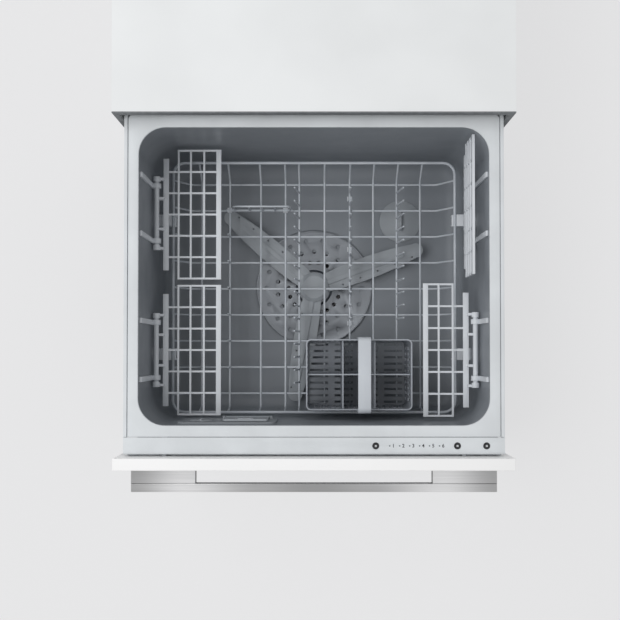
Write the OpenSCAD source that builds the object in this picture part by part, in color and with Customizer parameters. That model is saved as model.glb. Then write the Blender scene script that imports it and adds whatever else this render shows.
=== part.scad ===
// Built-in dishwasher drawer, drawn pulled out to its stop. Millimetres.
// X points right, Y to the back, Z up. The origin is the middle of the chassis underside.
// The drawer closes along +Y. Distances named "out" count forward from the chassis front.

/* [Chassis] */
// Width of the chassis
chassis_w = 599; // [598:1:602]
// Depth of the chassis
chassis_d = 553; // [551:1:570]
// Height of the chassis
chassis_h = 410; // [408:1:420]
// Thickness of the wrap sheet
sheet_t = 1; // [0.8:0.1:1.2]
// Thickness of the base pan
pan_t = 1.2; // [1:0.1:1.5]
// Width of the wrap's front flanges
flange_w = 8; // [6:0.5:8]
// Height of the wrap's front header
header_h = 15; // [12:1:16]
// Spacing of the cabinet screws from front to back
fixing_run = 420; // [400:5:430]
// Spacing of the cabinet screws in height
fixing_rise = 270; // [260:5:280]
// Radius of the cabinet screw holes
fixing_r = 2.5; // [2:0.25:3]

/* [Drawer] */
// Travel of the drawer
travel = 510; // [500:1:512]
// Height of the chassis above the rim
rim_drop = 36; // [35:1:40]
// Thickness of the rim and the control strip
rim_t = 4; // [3:0.5:5]
// Gap between the drawer's front edges and the cabinet, on each side
side_gap = 12; // [11.5:0.5:13.5]
// Width of a side trim with its groove
trim_w = 6.2; // [6:0.1:6.4]
// Groove between the rim and a side trim
groove_w = 1; // [0.6:0.1:1.5]

/* [Tub] */
// Room for a runner between the tub opening and the chassis side
runner_bay = 34; // [33.5:0.5:36]
// Depth of the tub opening, front to back
tub_d = 451.5; // [448:0.5:452]
// Corner radius of the opening
tub_r = 41; // [38:1:50]
// Height of the tub floor above the underside
floor_z = 84; // [82:1:86]
// Wall thickness of the tub
tub_t = 3; // [2.5:0.5:3]
// Radius between wall and floor
floor_r = 30; // [24:1:34]
// Distance from the chassis front to the opening's back edge
tub_back = 15; // [14:0.5:16]

/* [Front] */
// Gap between the door panel and its neighbours, on each side
panel_gap = 1.5; // [0.5:0.5:4]
// Thickness of the door panel
panel_t = 18; // [16:1:20]
// Height of the panel's bottom edge
panel_z0 = 4; // [2:1:12]
// Gap between the panel's top edge and the chassis top
panel_drop = 8; // [6:1:12]
// Width of the handle
handle_w = 552; // [520:2:580]
// Distance that the handle stands out from the panel
handle_out = 36; // [34:1:40]
// Depth of the handle's front bar
bar_d = 13; // [11:1:16]
// Width of each handle block
block_w = 97; // [70:1:120]
// Thickness of the handle
handle_t = 16; // [14:1:20]
// Distance of the handle's top face below the rim
handle_drop = 4; // [0:2:30]
// Diameter of the push buttons
button_d = 10; // [9:0.5:11]
// Travel of the push buttons
button_travel = 0.8; // [0.5:0.1:1]

/* [Racks] */
// Diameter of the rack wires
wire_d = 3.4; // [3:0.2:4]
// Diameter of the rack's top rail
rail_d = 5; // [4.4:0.2:5.6]
// Pitch of the cross wires
cross_pitch = 45.6; // [44:0.2:45.8]
// Pitch of the tines
tine_pitch = 22; // [20:0.5:22.5]
// Height of the plate tines
tine_h = 60; // [50:1:64]
// Length of a cup rack
cup_len = 214; // [204:1:214]
// Reach of the wide cup racks from their hinge
cup_reach = 104; // [98:1:106]
// Reach of the narrow cup rack from its hinge
cup_reach_small = 82; // [76:1:84]
// Width of the cutlery basket
basket_w = 172; // [164:1:174]
// Depth of the cutlery basket
basket_d = 115; // [110:1:117]
// Height of the cutlery basket
basket_h = 122; // [110:1:126]
// Half length of the spray arm
spray_reach = 205; // [180:1:208]

/* [Hidden] */
$fn = 48;

// gap between pieces that slide or turn on each other
play = 0.3;
front = -chassis_d / 2;
back = chassis_d / 2;
wrap_in = chassis_w / 2 - sheet_t;
bead_h = 3;
back_t = 1.2;

// services in the back: X of each, and their height
inlet_x = 119.5 - chassis_w / 2;
drain_x = -inlet_x;
gland_x = drain_x + 55;
service_z = 60;
link_xs = [-36, 0, 36];

// the drawer's planes, counted forward from the chassis front
tub_front = tub_back + tub_d;
seam_out = tub_front + 17.5;
strip_d = 26;
strip_out = seam_out + strip_d;
frame_t = 1.5;
panel_back = strip_out + 3;
panel_front = panel_back + panel_t;
rim_back = tub_back - 20;
rim_z = chassis_h - rim_drop;
tub_w = chassis_w - 2 * runner_bay;
trim_half = chassis_w / 2 - side_gap;
rim_half = trim_half - trim_w;
flange_half = rim_half - 3;
panel_w = chassis_w - 2 * panel_gap;
panel_z1 = chassis_h - panel_drop;
handle_z = rim_z - handle_drop;
frame_half = chassis_w / 2 - 13.5;
frame_z = [14, rim_z - 18];
frame_window_pitch = (2 * frame_half - 42) / 4.5;
tub_mid = front - tub_back - tub_d / 2;
lip_z = rim_z - rim_t;

// runners: lipped C rails on chassis and drawer, a beaded rail between them
runner_z = 200;
runner_h = 46;
runner_t = 2;
lip_h = 4;
rail_w = 10.5;
bead_d = 5.6;
plate_x = tub_w / 2 + tub_t + 2;
outer_len = 470;
middle_len = 450;
inner_len = 478;
outer_at = 45;
web_x = (plate_x + wrap_in) / 2;

// lid and its lifting gear
lid_half = chassis_w / 2 - 24.5;
lid_reach = tub_d / 2 + 13.25;
lid_z = rim_z + 8;
lid_t = 4;
lid_h = 17;
seal_h = 3;
lid_travel = 4.7;
lid_ratio = 3;
pin_d = 5;
pin_z = lid_z + 9;
pin_runs = [120, 420];
yoke_x = lid_half + 5;
yoke_t = 3;
yoke_z = lid_z - 2;
yoke_h = 16;
guide_runs = [85, 270, 455];

// controls: X of the three buttons, and how far out they stand
button_xs = [trim_half - 194.5, trim_half - 71.5, trim_half - 27.5];
button_out = strip_out - 13;
strip_t = 3;
strip_r = 2.5;
skirt_h = 18;
light_xs = [for (i = [0:5]) button_xs[0] + 21 + 15 * i];
housing_z = rim_z - 40;
board_z = rim_z - 24;
switch_z = rim_z - 15.5;

// handle screws and detergent dispenser
handle_screw_x = handle_w / 2 - block_w / 2;
well_x = [60.5 - tub_w / 2, 200.5 - tub_w / 2];
well_z = [rim_z - 126, rim_z - 30];
well_r = 6;
flap_x = well_x + [63, -7];
flap_z = well_z + [20, -14];
flap_y = front - tub_front + 5;
cap_x = well_x[0] + 27;
cap_z = well_z[0] + 52;

// drain filter and drying fan
filter_x = 155;
filter_out = 120;
fan_x = 50.5 - tub_w / 2;
duct_z = rim_z - 34;
pump_z = 46;

// racks, all heights from the underside
wire_sides = 6;
grid_z = 139;
rail_z = 184;
rail_half = tub_w / 2 - 25.5;
rail_back = 33;
rail_front = 458;
bend_run = 26;
front_bend = 6;
ledge_runs = [131.4, 359.4];
cross_runs = [for (i = [0:8]) 63 + cross_pitch * i];
long_xs = [44 - rail_half, -147, -93, -50, -26, 18, 62, 103, 144, rail_half - 55];
tine_z = grid_z + wire_d - 0.4;
tine_foot = tine_z + wire_d / 2 * cos(180 / wire_sides);
fold_z = tine_z + wire_d / 2 + 3;
fold_rod_d = 4;
weld = 0.05;
cup_pivot_x = tub_w / 2 - 8.5;
cup_pivot_z = rim_z - 119;
cup_pivot_high = rim_z - 83;
cup_mids = [129.5, 352.5];
cup_spine_d = 8;
wide_slats = [34, 54, 76];
narrow_slats = [34.5, 57];
eye_d = 14;
arm_w = 8;
arm_gap = 45;
basket_x = 73;
basket_out = 392.5;
basket_z = tine_foot + play;
basket_t = 2;
slot_w = 5;
slot_pitch = 9.5;
drip_w = 3.8;
divider_x = 26;
sump_d = 130;
arm_z = floor_z + 17;

// ---------- shapes that repeat ----------

// Y of a point that lies a distance in front of the chassis
function out(run) = front - run;

// the low and high end of a length about its middle
function span(middle, half) = [middle - half, middle + half];

// a box from its low and high X, Y and Z
module block(x, y, z)
    translate([min(x), min(y), min(z)])
        cube([abs(x[1] - x[0]), abs(y[1] - y[0]), abs(z[1] - z[0])]);

// the right-hand piece, or its mirror image for the left
module on_side(side)
    mirror([side < 0 ? 1 : 0, 0, 0])
        children();

module both_sides()
    for (side = [-1, 1])
        on_side(side) children();

module upright(x, run, z, h, d)
    translate([x, out(run), z]) cylinder(h = h, d = d);

// a rod along X, Y or Z given by its middle line's start
module rod_x(x, y, z, d)
    translate([min(x), y, z]) rotate([0, 90, 0]) cylinder(h = abs(x[1] - x[0]), d = d);

module rod_y(x, y, z, d)
    translate([x, min(y), z]) rotate([-90, 0, 0]) cylinder(h = abs(y[1] - y[0]), d = d);

// a straight wire between two points, let in a little at its ends
module wire(a, b, d = wire_d) {
    along = b - a;
    reach = norm(along);
    translate(a) rotate([0, acos(along.z / reach), atan2(along.y, along.x)])
        translate([0, 0, -d / 4]) cylinder(h = reach + d / 2, d = d, $fn = wire_sides);
}

module rounded_outline(w, d, r) {
    square([w - 2 * r, d], center = true);
    square([w, d - 2 * r], center = true);
    for (x = [-1, 1], y = [-1, 1])
        translate([x * (w / 2 - r), y * (d / 2 - r)]) circle(r);
}

// a rounded rectangle from its low and high ends
module pad(x, y, r)
    translate([(x[0] + x[1]) / 2, (y[0] + y[1]) / 2])
        rounded_outline(abs(x[1] - x[0]), abs(y[1] - y[0]), r);

// an outline in X and Z drawn out along Y, and one in Y and Z drawn out along X
module along_y(y)
    translate([0, max(y), 0]) rotate([90, 0, 0]) linear_extrude(abs(y[1] - y[0])) children();

module along_x(x)
    translate([min(x), 0, 0]) rotate([90, 0, 90]) linear_extrude(abs(x[1] - x[0])) children();

// plates with rounded corners that face Z, Y and X
module plate_z(x, y, z, r)
    translate([0, 0, min(z)]) linear_extrude(abs(z[1] - z[0])) pad(x, y, r);

module plate_y(x, y, z, r)
    along_y(y) pad(x, z, r);

module plate_x(x, y, z, r)
    along_x(x) pad(y, z, r);

// the tub's rounded outline, grown on every side
module tub_outline(grow = 0)
    translate([0, tub_mid])
        rounded_outline(tub_w + 2 * grow, tub_d + 2 * grow, tub_r + grow);

// the section of a trough with a rounded foot, as wide as w
module trough(w, h, r) {
    translate([-w / 2, r]) square([w, h - r]);
    translate([r - w / 2, 0]) square([w - 2 * r, h]);
    for (side = [-1, 1])
        translate([side * (w / 2 - r), r]) circle(r);
}

// a solid with the tub's outline and a rounded foot: two troughs that cross,
// and their section's end turned about each corner
module tub_form(grow, top) {
    w = tub_w + 2 * grow;
    d = tub_d + 2 * grow;
    r = tub_r + grow;
    foot = floor_r + grow;
    h = top - floor_z + grow;
    translate([0, tub_mid, floor_z - grow]) {
        translate([0, d / 2 - r, 0]) rotate([90, 0, 0])
            linear_extrude(d - 2 * r) trough(w, h, foot);
        translate([r - w / 2, 0, 0]) rotate([90, 0, 90])
            linear_extrude(w - 2 * r) trough(d, h, foot);
        for (turn = [0:3])
            translate([(turn % 3 == 0 ? 1 : -1) * (w / 2 - r), (turn < 2 ? 1 : -1) * (d / 2 - r)])
                rotate(90 * turn) rotate_extrude(angle = 90)
                    intersection() {
                        trough(2 * r, h, foot);
                        square([r, h]);
                    }
    }
}

// the section of a C rail that opens to the right, its web on x, with lips at its mouth
module rail_section(x, w) {
    mouth = runner_h - 2 * (runner_t + lip_h);
    difference() {
        pad([x, x + w], span(runner_z, runner_h / 2), 1.5);
        pad([x + runner_t, x + w - runner_t], span(runner_z, runner_h / 2 - runner_t), 0.8);
        translate([x + w - runner_t - 0.1, runner_z - mouth / 2]) square([runner_t + 1, mouth]);
    }
}

// ---------- chassis ----------

module fixing_spots()
    for (side = [-1, 1], run = [0, fixing_run], rise = [0, fixing_rise])
        on_side(side) translate([wrap_in, front + 40 + run, 60 + rise]) children();

module cabinet_wrap()
    color("gainsboro")
        difference() {
            union() {
                difference() {
                    block([-chassis_w / 2, chassis_w / 2], [front, back], [pan_t, chassis_h]);
                    block([-wrap_in, wrap_in], [front - 1, back + 1], [0, chassis_h - sheet_t]);
                }
                both_sides()
                    block([wrap_in - flange_w, wrap_in + 0.1], [front, front + sheet_t],
                          [pan_t, chassis_h - sheet_t]);
                block([-wrap_in, wrap_in], [front, front + sheet_t],
                      [chassis_h - header_h, chassis_h - sheet_t / 2]);
            }
            fixing_spots()
                rotate([0, 90, 0]) cylinder(h = 4, r = fixing_r + 0.5, center = true);
            runner_passage();
        }

// the runners' way through the wrap's flanges and the gasket
module runner_passage()
    both_sides()
        block([plate_x, wrap_in - runner_t], [front - 3, front + 2],
              span(runner_z, runner_h / 2 + 1));

module base_pan()
    color("silver") {
        block([-chassis_w / 2, chassis_w / 2], [front, back], [0, pan_t]);
        both_sides()
            block([wrap_in - pan_t, wrap_in], [front + 3, back - 3], [0, pan_t + 12]);
        for (i = [-2:2])
            plate_z(span(i * chassis_w / 6, 12), [front + 60, back - 60], [0, pan_t + bead_h], 11);
    }

module back_panel()
    color("silver")
        difference() {
            union() {
                block([-wrap_in, wrap_in], [back - back_t, back], [pan_t, chassis_h - sheet_t]);
                for (x = [-120, 0, 120])
                    plate_y(span(x, 9), [back - back_t - 1.5, back], [110, 300], 8);
            }
            rod_y(inlet_x, [back - 4, back + 3], service_z, 28);
            rod_y(drain_x, [back - 4, back + 3], service_z, 22);
            rod_y(gland_x, [back - 4, back + 3], service_z, 16);
            for (i = [-5:5])
                plate_y(span(i * 24, 8), [back - 3, back + 3], span(chassis_h - 78, 2), 1.8);
        }

module front_gasket()
    color("dimgray")
        difference() {
            block([-chassis_w / 2, chassis_w / 2], [front - 2, front], [0, chassis_h]);
            block([-wrap_in + flange_w, wrap_in - flange_w], [front - 3, front + 1],
                  [8, chassis_h - header_h]);
            runner_passage();
        }

module fixing_plates()
    color("darkgray")
        fixing_spots()
            difference() {
                along_x([-2, 0]) rounded_outline(36, 36, 6);
                rotate([0, 90, 0]) cylinder(h = 8, r = fixing_r, center = true);
            }

module runner_outer()
    color("lightslategray")
        both_sides()
            mirror([1, 0, 0])
                along_y([front + outer_at, front + outer_at + outer_len])
                    rail_section(-wrap_in, rail_w);

module yoke_guides()
    color("dimgray")
        both_sides()
            for (run = guide_runs)
                along_y([front + run - 15, front + run + 15])
                    difference() {
                        pad([yoke_x, wrap_in], [yoke_z - 3.5, yoke_z + yoke_h + 3.5], 1.5);
                        translate([yoke_x - 1, yoke_z - play])
                            square([yoke_t + play + 1, yoke_h + 2 * play]);
                    }

module lid_actuators()
    color("black")
        both_sides() {
            box_in = yoke_x + 1;
            plate_y([box_in, wrap_in], [back - 50, back - 14], [yoke_z - 2, yoke_z + 22], 4);
            rod_y((box_in + wrap_in) / 2, [back - 14, back - 5], yoke_z + 9, 15);
            rod_y((box_in + wrap_in) / 2, [back - 5.1, back - 3], yoke_z + 9, 6);
        }

module inlet_valve()
    color("white")
        difference() {
            union() {
                rod_y(inlet_x, [back, back + 3], service_z, 38);
                rod_y(inlet_x, [back - 12, back + 19], service_z, 26.4);
                rod_y(inlet_x, [back - 34, back - 12], service_z, 34);
                translate([inlet_x, back - 22, service_z]) {
                    cylinder(h = 34, d = 12);
                    translate([0, 0, 19]) cylinder(h = 24, d = 27);
                    translate([-6, -4, 42]) cube([12, 8, 8]);
                }
            }
            rod_y(inlet_x, [back - 4, back + 20], service_z, 14);
        }

module drain_outlet()
    color("dimgray")
        difference() {
            union() {
                rod_y(drain_x, [back, back + 3], service_z, 32);
                rod_y(drain_x, [back - 32, back + 24], service_z, 19);
                translate([drain_x, back - 21, service_z]) {
                    cylinder(h = 34, d = 18);
                    for (z = [14, 21, 28])
                        translate([0, 0, z]) cylinder(h = 4, d1 = 21, d2 = 18.6);
                }
            }
            rod_y(drain_x, [back - 28, back + 25], service_z, 15);
            translate([drain_x, back - 21, service_z]) cylinder(h = 35, d = 13);
        }

module mains_gland()
    color("black")
        difference() {
            union() {
                rod_y(gland_x, [back, back + 6], service_z, 25, $fn = 6);
                rod_y(gland_x, [back, back + 8], service_z, 17);
                rod_y(gland_x, [back - 8, back], service_z, 14);
            }
            rod_y(gland_x, [back - 9, back + 9], service_z, 8.2);
        }

module link_elbow()
    color("dimgray")
        difference() {
            union() {
                plate_y([-60, 60], [back - 36, back - back_t], [pan_t, 44], 9);
                block([-52, 52], [back - 36, back - back_t], [pan_t, 14]);
            }
            for (x = link_xs)
                rod_y(x, [back - 40, back - 14], 26, 16);
        }

// ---------- lid ----------

module lid()
    color("whitesmoke") {
        translate([0, tub_mid + travel, 0])
            difference() {
                translate([0, 0, lid_z]) linear_extrude(lid_h)
                    rounded_outline(2 * lid_half, 2 * lid_reach, 30);
                translate([0, 0, lid_z + lid_t]) linear_extrude(lid_h)
                    rounded_outline(2 * lid_half - 6, 2 * lid_reach - 6, 27);
            }
        for (x = [-lid_half / 2, 0, lid_half / 2])
            block(span(x, 1.5), lid_y() + [1, -1], [lid_z + 1, lid_z + lid_h - 4]);
        for (i = [1:3])
            block([-lid_half + 1, lid_half - 1], span(lid_y()[0] + lid_reach / 2 * i, 1.5),
                  [lid_z + 1, lid_z + lid_h - 4]);
        translate([0, tub_mid + travel, lid_z + 1]) {
            difference() {
                cylinder(h = lid_h - 5, d = 92);
                cylinder(h = lid_h, d = 86);
            }
        }
        both_sides()
            for (run = pin_runs) {
                rod_x([lid_half - 3, yoke_x + yoke_t], front + run, pin_z, pin_d);
                rod_x([lid_half - 14, lid_half - 1], front + run, pin_z, 14);
            }
    }

function lid_y() = span(tub_mid + travel, lid_reach);

module lid_seal()
    color("dimgray")
        translate([0, travel, lid_z]) {
            seal_ring(1.2, 3, 9);
            seal_ring(seal_h, 4.5, 7.5);
        }

// a ring of the lid's seal that hangs down by a depth
module seal_ring(depth, inner, outer)
    translate([0, 0, -depth])
        linear_extrude(depth)
            difference() {
                tub_outline(outer);
                tub_outline(inner);
            }

module yoke(side) {
    drop = [-lid_travel * lid_ratio, -lid_travel];
    color("slategray")
        on_side(side)
            difference() {
                block([yoke_x, yoke_x + yoke_t], [front + 60, front + 478],
                      [yoke_z, yoke_z + yoke_h]);
                for (run = pin_runs)
                    translate([yoke_x - 1, front + run, pin_z])
                        rotate([90, 0, 90]) linear_extrude(yoke_t + 2) {
                            circle(d = pin_d + 2 * play);
                            translate(drop) circle(d = pin_d + 2 * play);
                            rotate(atan2(drop[1], drop[0]))
                                translate([0, -pin_d / 2 - play])
                                    square([norm(drop), pin_d + 2 * play]);
                        }
                for (run = [193, 347])
                    plate_x([yoke_x - 1, yoke_x + yoke_t + 1], span(front + run, 40),
                            span(yoke_z + yoke_h / 2, 4), 3);
            }
}

// a rail with a web and four round beads that run in the lips of the C rails
module runner_middle(side) {
    y0 = front + outer_at + 5 - travel / 2;
    bead_z = runner_h / 2 - runner_t - play - bead_d / 2;
    arm_h = runner_h / 2 - runner_t - lip_h - 2 * play - 0.1;
    bead_out = rail_w - runner_t - play - bead_d / 2;
    color("silver")
        on_side(side)
            along_y([y0, y0 + middle_len]) {
                pad(span(web_x, 1), span(runner_z, arm_h), 0.5);
                for (top = [-1, 1]) {
                    pad([plate_x + bead_out, wrap_in - bead_out],
                        span(runner_z + top * (arm_h - 1), 1), 0.5);
                    for (x = [plate_x + bead_out, wrap_in - bead_out])
                        translate([x, runner_z + top * bead_z]) circle(d = bead_d);
                }
            }
}

// ---------- tub and rim ----------

module tub()
    color("dimgray")
        difference() {
            union() {
                tub_form(tub_t, lip_z);
                translate([0, 0, lip_z - tub_t])
                    linear_extrude(tub_t)
                        translate([0, tub_mid])
                            rounded_outline(2 * flange_half, tub_d + 24, 30);
            }
            tub_form(0, lip_z + 2);
            upright(0, tub_back + tub_d / 2, floor_z - 10, 20, sump_d);
            plate_y(well_x, [out(tub_front - 1), out(tub_front + 10)], well_z, well_r);
            upright(filter_x, filter_out, floor_z - 10, 20, 60);
        }

module tub_rim()
    color("lightgray") {
        y = [out(seam_out - 0.3), out(rim_back)];
        translate([0, 0, lip_z]) linear_extrude(rim_t) difference() {
            union() {
                translate([-rim_half, y[0]]) square([2 * rim_half, 100]);
                translate([0, (y[0] + y[1]) / 2])
                    rounded_outline(2 * rim_half, y[1] - y[0], 8);
            }
            tub_outline();
        }
        both_sides()
            block([flange_half, rim_half], y + [0, -10], [lip_z - 18, lip_z + 1]);
        block([-rim_half + 10, rim_half - 10], [y[1] - 3, y[1]], [lip_z - 12, lip_z + 1]);
    }

module side_trims()
    color("lightgray")
        both_sides() {
            y = [out(seam_out - 0.3), out(rim_back)];
            block([rim_half + groove_w, trim_half], y, [lip_z - 1, rim_z]);
            block([rim_half, trim_half], y, [lip_z - 12, lip_z]);
        }

module control_strip()
    color("lightgray")
        difference() {
            union() {
                along_x([-trim_half, trim_half])
                    difference() {
                        strip_side();
                        pad([out(strip_out - 2.5), out(seam_out - 9)],
                            [rim_z - 30, rim_z - strip_t], 1);
                    }
                both_sides()
                    along_x([trim_half - 2.5, trim_half]) strip_side();
            }
            for (x = button_xs)
                upright(x, button_out, rim_z - 10, 20, button_d + 2 * play);
            for (x = light_xs)
                upright(x, button_out, rim_z - 10, 20, 2.4);
        }

// the strip seen from the side, rounded at its front edge
module strip_side()
    intersection() {
        pad([out(strip_out), out(seam_out - 8)], [rim_z - 30, rim_z], strip_r);
        translate([out(strip_out), rim_z - skirt_h])
            square([strip_out - seam_out - play, skirt_h]);
    }

module indicator_lights()
    color("white") {
        for (x = light_xs)
            upright(x, button_out, rim_z - strip_t - 0.5, strip_t + 0.5, 2.2);
        plate_z([light_xs[0] - 4, light_xs[5] + 4], span(out(button_out), 3),
                [rim_z - strip_t - 2, rim_z - strip_t], 2);
    }

module control_housing()
    color("dimgray")
        difference() {
            x = [button_xs[0] - 33, trim_half - 10];
            plate_z(x, [out(seam_out - 3), out(strip_out - 4)], [housing_z, rim_z - strip_t], 3);
            plate_z(x + [2, -2], [out(seam_out - 1), out(strip_out - 6)], [housing_z + 2, rim_z], 2);
            block(x + [-1, 1], [out(seam_out - 4), out(seam_out)], [lip_z - tub_t - play, rim_z]);
        }

module control_board()
    color("darkgreen") {
        x = [button_xs[0] - 31, trim_half - 12];
        plate_z(x, [out(seam_out - 1), out(strip_out - 6)], [board_z, board_z + 1.6], 2);
        for (x = button_xs) {
            block(span(x, 4), span(out(button_out), 4), [board_z + 1, switch_z - 2.5]);
            upright(x, button_out, switch_z - 3.5, 3.5, 3);
        }
        block([x[0] + 18, x[0] + 68], [out(seam_out + 1), out(seam_out + 8)],
              [board_z + 1, board_z + 12]);
        block([x[0] + 78, x[0] + 138], [out(button_out - 6), out(button_out + 4)],
              [board_z - 12, board_z + 1]);
    }

module push_button(x)
    color("black")
        difference() {
            union() {
                upright(x, button_out, rim_z - 7, 7.5, button_d);
                translate([x, out(button_out), rim_z + 0.5])
                    cylinder(h = 0.5, d1 = button_d, d2 = button_d - 1);
                upright(x, button_out, rim_z - strip_t - play - 2.2, 2.2, button_d + 4);
                upright(x, button_out, switch_z + play + button_travel, 10, 4);
            }
            upright(x, button_out, rim_z + 0.7, 1, button_d - 4);
        }

// ---------- front ----------

module front_frame()
    color("darkgray")
        difference() {
            union() {
                plate_y([-frame_half, frame_half], [out(panel_back), out(panel_back - frame_t)],
                        frame_z, 6);
                both_sides()
                    block([frame_half - 2, frame_half],
                          [out(panel_back - 1), out(panel_back - 20)], frame_z + [6, -10]);
                block([-frame_half + 6, frame_half - 6],
                      [out(panel_back - 1), out(panel_back - 28)], [frame_z[0], frame_z[0] + frame_t]);
            }
            screw_spots() rod_y(0, [-5, 5], 0, 5.4);
            for (i = [-1.5:1.5], z = [frame_z[0] + 98, frame_z[0] + 218])
                plate_y(span(i * frame_window_pitch, 48), [out(panel_back + 1), out(panel_back - 3)],
                        span(z, 50), 16);
            for (i = [-2:2])
                plate_y(span(i * frame_window_pitch, 20), [out(panel_back + 1), out(panel_back - 3)],
                        span(frame_z[0] + 22, 5), 4.8);
        }

module screw_spots()
    for (spot = [[24 - frame_half, frame_z[0] + 46], [frame_half - 24, frame_z[0] + 46],
                 [0, frame_z[0] + 34], [24 - frame_half, frame_z[1] - 56],
                 [frame_half - 24, frame_z[1] - 56], [0, frame_z[1] - 56],
                 [71 - handle_w / 2, handle_z - handle_t - 22],
                 [handle_w / 2 - 71, handle_z - handle_t - 22]])
        translate([spot[0], out(panel_back - frame_t), spot[1]]) children();

module side_plates()
    color("darkgray")
        both_sides() {
            wall = tub_w / 2 + tub_t;
            z = span(runner_z, 50);
            difference() {
                block([wall, plate_x], [out(12), out(panel_back - frame_t)], z);
                for (i = [0:6], edge = [-1, 1])
                    plate_x([wall - 1, plate_x + 1], span(out(52 + 64 * i), 21),
                            span(runner_z + edge * (runner_h / 2 + 13), 6), 5.8);
            }
            block([wall, wall + 12], [out(40), out(panel_back - 40)], [z[0], z[0] + frame_t]);
            plate_y([wall, frame_half - 3], [out(panel_back - frame_t - 2), out(panel_back - frame_t)],
                    z, 5);
        }

module runner_inner()
    color("lightslategray")
        both_sides()
            along_y([out(12 + inner_len), out(12)]) rail_section(plate_x, rail_w);

module door_panel()
    color("white")
        difference() {
            block([-panel_w / 2, panel_w / 2], [out(panel_back), out(panel_front)],
                  [panel_z0, panel_z1]);
            screw_spots() rod_y(0, [-20, 0], 0, 5);
            for (x = [-1, 1])
                rod_y(x * handle_screw_x, [out(panel_back) + 1, out(panel_front) - 1],
                      handle_z - handle_t / 2, 5);
        }

module front_screws()
    color("silver") {
        screw_spots() {
            rod_y(0, [-14, 0], 0, 4.9);
            rod_y(0, [0, 3], 0, 10);
        }
        for (x = [-1, 1]) {
            rod_y(x * handle_screw_x, [out(panel_back), out(panel_front + 12)],
                  handle_z - handle_t / 2, 4.9);
            rod_y(x * handle_screw_x, [out(panel_back), out(panel_back - 2.4)],
                  handle_z - handle_t / 2, 10);
        }
    }

module handle_bar()
    color("silver")
        along_x([-handle_w / 2, handle_w / 2])
            pad([out(panel_front + handle_out), out(panel_front + handle_out - bar_d)],
                [handle_z - handle_t, handle_z], 1.5);

module handle_blocks()
    color("silver")
        both_sides()
            difference() {
                along_x([handle_w / 2 - block_w, handle_w / 2])
                    pad([out(panel_front + handle_out - bar_d), out(panel_front)],
                        [handle_z - handle_t, handle_z], 0.8);
                rod_y(handle_screw_x, [out(panel_front + 12), out(panel_front) + 1],
                      handle_z - handle_t / 2, 5);
            }

// ---------- detergent dispenser ----------

module dispenser_body()
    color("lightgray")
        difference() {
            union() {
                plate_y(well_x, [out(tub_front), out(tub_front + 32)], well_z, well_r);
                plate_y(well_x + [-6, 6], [out(tub_front), out(tub_front - 3)], well_z + [-6, 6], 12);
                for (x = [flap_x[0] - 5, flap_x[1] + 1])
                    block([x, x + 4], [out(tub_front), flap_y + 3], [flap_z[0] - 4, flap_z[0] + 4]);
            }
            block(flap_x + [4, -4], [out(tub_front + 26), out(tub_front - 4)], flap_z + [6, -4]);
            rod_y(cap_x, [out(tub_front + 20), out(tub_front - 4)], cap_z, 30);
            rod_x([flap_x[0] - 3.5, flap_x[1] + 3.5], flap_y, flap_z[0], 3.4);
            rod_x([flap_x[0] - play, flap_x[1] + play], flap_y, flap_z[0], 5 + 2 * play);
            rod_y(cap_x, [out(tub_front), out(tub_front - 4)], cap_z, 37);
        }

module dispenser_flap()
    color("gray") {
        plate_y(flap_x, [flap_y - 1.5, flap_y + 1.5], flap_z, 5);
        block(flap_x + [1, -1], [flap_y - 1.5, flap_y + 1.5], [flap_z[0], flap_z[0] + 8]);
        rod_x(flap_x + [-3, 3], flap_y, flap_z[0], 3);
        rod_x(flap_x, flap_y, flap_z[0], 5);
        for (i = [0:2])
            rod_x(span(flap_x[0] + 35, 12), flap_y + 1.5, flap_z[1] - 7 - 5 * i, 2.4);
    }

module rinse_aid_cap()
    color("gray") {
        rod_y(cap_x, [out(tub_front + 14), out(tub_front - 2)], cap_z, 29.4);
        difference() {
            rod_y(cap_x, [out(tub_front - play), out(tub_front - 3.6)], cap_z, 36);
            for (a = [0:30:330])
                translate([cap_x, 0, cap_z]) rotate([0, a, 0])
                    rod_y(19, [out(tub_front + 1), out(tub_front - 5)], 0, 5);
        }
        plate_y([cap_x - 2.5, cap_x + 2.5], [out(tub_front - 3), out(tub_front - 5.6)],
                span(cap_z, 15), 2.4);
    }

// ---------- wash system ----------

module pump_housing()
    color("dimgray")
        translate([0, tub_mid, 0])
            difference() {
                top = floor_z - tub_t;
                union() {
                    translate([0, 0, pump_z]) cylinder(h = 6, d1 = sump_d, d2 = sump_d + 16);
                    translate([0, 0, pump_z + 6]) cylinder(h = top - pump_z - 6, d = sump_d + 16);
                    translate([0, 0, pump_z]) cylinder(h = 56, d = 26);
                    translate([0, 0, pump_z]) cylinder(h = arm_z + 13 - pump_z, d = 11.6);
                    for (a = [18:36:342])
                        rotate(a) rotate([90, 0, 0]) translate([0, 0, -1.5]) linear_extrude(3)
                            polygon([[sump_d / 2 + 6, pump_z + 10], [sump_d / 2 + 19, top - 3],
                                     [sump_d / 2 + 19, top], [sump_d / 2 + 6, top]]);
                }
                difference() {
                    translate([0, 0, pump_z + 4]) cylinder(h = 60, d = sump_d);
                    translate([0, 0, pump_z - 6]) cylinder(h = arm_z - play - pump_z + 6, d = 26);
                    translate([0, 0, pump_z - 6]) cylinder(h = arm_z + 19 - pump_z, d = 11.6);
                }
            }

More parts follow.
